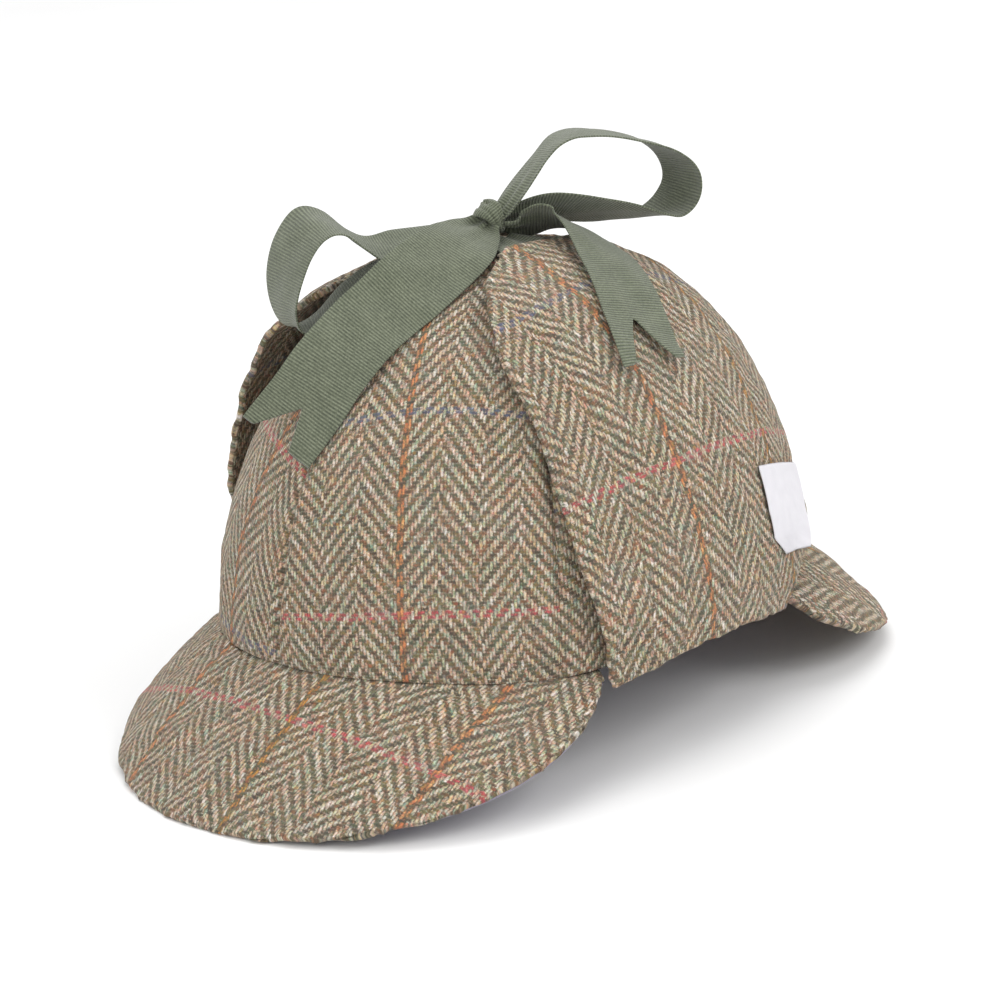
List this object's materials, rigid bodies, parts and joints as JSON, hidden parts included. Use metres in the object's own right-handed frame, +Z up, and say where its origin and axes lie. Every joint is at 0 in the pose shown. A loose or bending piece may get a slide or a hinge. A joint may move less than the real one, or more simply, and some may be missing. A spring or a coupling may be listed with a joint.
{
  "type": "deerstalker hat",
  "caption": "Herringbone tweed deerstalker hat with front and rear peaks and ear flaps tied up on top with a green ribbon bow.",
  "frame": {"origin": "on the floor under the middle of the hat's overall box", "axes": "-Y towards the front peak, +X towards the wearer's left, +Z up"},
  "size_m": [0.1814, 0.2874, 0.1851],
  "materials": {
    "tweed": "woven wool, herringbone",
    "lining": "smooth woven",
    "ribbon": "ribbed, matt",
    "label": "woven, matt"
  },
  "bodies": {
    "root": {"crown": "tweed", "front_peak": "tweed", "front_peak_lining": "lining", "rear_peak": "tweed", "left_ear_flap": "tweed", "right_ear_flap": "tweed", "label": "label", "ribbon_tie_left": "ribbon", "ribbon_tie_right": "ribbon", "bow_knot": "ribbon", "bow_loop_front": "ribbon", "bow_loop_rear": "ribbon", "bow_tail_front": "ribbon", "bow_tail_rear": "ribbon"}
  },
  "joints": []
}
